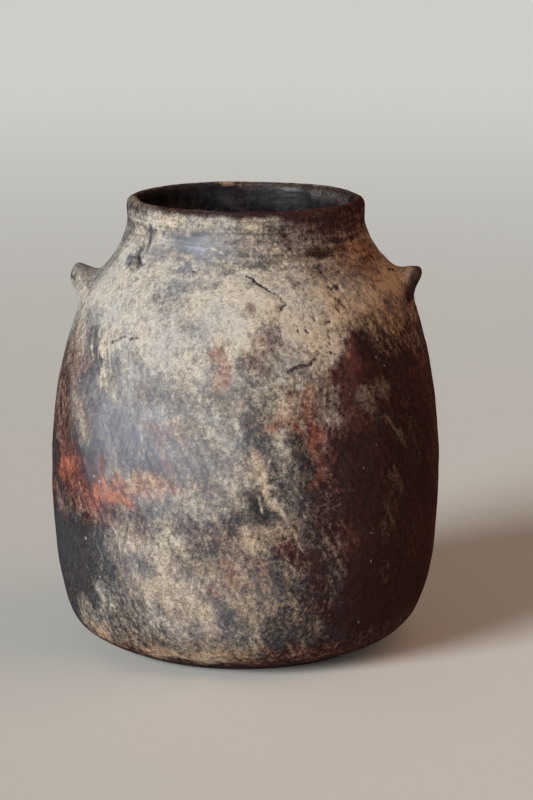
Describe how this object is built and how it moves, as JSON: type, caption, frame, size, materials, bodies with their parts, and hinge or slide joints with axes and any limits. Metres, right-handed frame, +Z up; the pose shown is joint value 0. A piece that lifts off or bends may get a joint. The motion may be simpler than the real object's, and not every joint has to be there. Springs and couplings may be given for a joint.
{
  "type": "cooking pot",
  "caption": "Hand-built clay cooking pot with a barrel-shaped body, a short neck, a thick lip and solid lugs on its shoulder.",
  "frame": {"origin": "centre of the flat underside, on the pot's axis", "axes": "+Z up along the pot's axis, towards the mouth; the lugs point along +X and -X; the pictured front faces -Y"},
  "size_m": [0.1548, 0.1548, 0.18],
  "materials": {
    "bare_clay": "burnished earthenware, tan with grey mottling, matt",
    "smoked_clay": "burnished earthenware blackened by smoke, dull sheen",
    "flashed_clay": "burnished earthenware with red and brown flame marks, dull sheen"
  },
  "bodies": {
    "root": {"base": "smoked_clay", "wall_strip_1": "smoked_clay", "wall_strip_2": "flashed_clay", "wall_strip_3": "smoked_clay", "wall_strip_4": "flashed_clay", "shoulder": "bare_clay", "neck": "bare_clay", "rim": "flashed_clay", "lug_right": "bare_clay", "lug_left": "bare_clay"}
  },
  "joints": []
}
